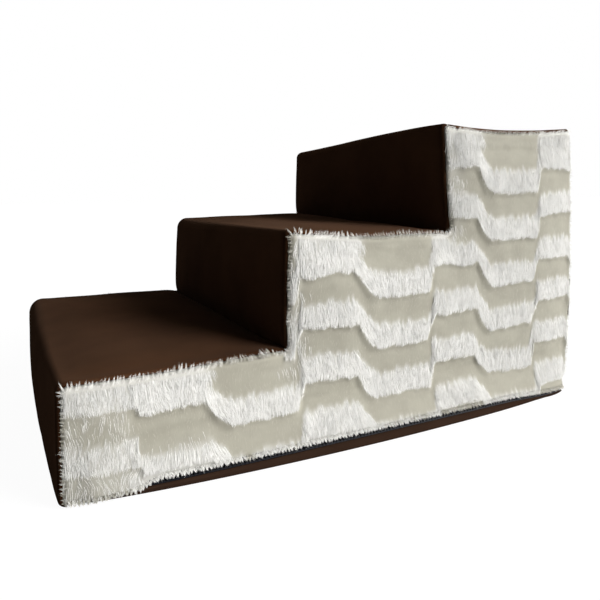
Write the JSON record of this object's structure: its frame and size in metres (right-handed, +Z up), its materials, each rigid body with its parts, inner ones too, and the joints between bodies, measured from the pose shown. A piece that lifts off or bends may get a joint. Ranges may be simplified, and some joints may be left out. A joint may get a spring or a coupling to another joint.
{
  "type": "pet stairs",
  "caption": "Foam stairs that help a pet onto a bed or sofa, in a zipped brown microfibre cover with cream wave-embossed faux fur side panels.",
  "frame": {"origin": "on the floor, at the middle of the stairs' footprint", "axes": "+X the way the pet climbs, +Y from the zipped near side to the far side, +Z up"},
  "size_m": [0.6104, 0.37, 0.332],
  "materials": {
    "foam": "open-cell polyurethane foam, matte",
    "brown_microfibre": "short-napped microfibre, soft matte sheen",
    "base_microfibre": "short-napped microfibre, reddish brown, matte",
    "fur_pile": "faux fur, glossy white long pile in waves over cream short pile",
    "fur_ground": "knitted, matte",
    "zipper_tape": "woven tape, matte",
    "zipper_coil": "satin",
    "slider_metal": "semi-gloss enamel",
    "thread": "spun thread",
    "tab_webbing": "woven ribbon, matte"
  },
  "bodies": {
    "stairs": {"foam_base_block": "foam", "foam_middle_block": "foam", "foam_top_block": "foam", "lower_step_cover": "brown_microfibre", "middle_step_cover": "brown_microfibre", "upper_step_cover": "brown_microfibre", "back_panel": "brown_microfibre", "base_panel": "base_microfibre", "right_side_backing": "fur_ground", "right_side_pile": "fur_pile", "left_side_backing": "fur_ground", "left_side_pile": "fur_pile", "zipper_upper_tape": "zipper_tape", "zipper_lower_tape": "zipper_tape", "zipper_upper_teeth": "zipper_coil", "zipper_lower_teeth": "zipper_coil", "zipper_start_stop": "zipper_coil", "zipper_end_stops": "zipper_coil", "seam_tab": "tab_webbing", "crease_stitches": "thread", "back_seam_stitches": "thread", "base_seam_stitches": "thread", "zipper_stitches": "thread", "tab_stitches": "thread"},
    "slider": {"zipper_slider": "slider_metal"},
    "pull": {"zipper_pull": "slider_metal"}
  },
  "joints": [
    {"name": "zipper_slide", "type": "slide", "parent": "stairs", "child": "slider", "axis": [0, -1, 0], "range_m": [0, 0.305]},
    {"name": "pull_swing", "type": "hinge", "parent": "slider", "child": "pull", "pos_m": [0.3037, 0.1437, 0.009], "axis": [0, 0, 1], "range_deg": [0, 180]}
  ]
}
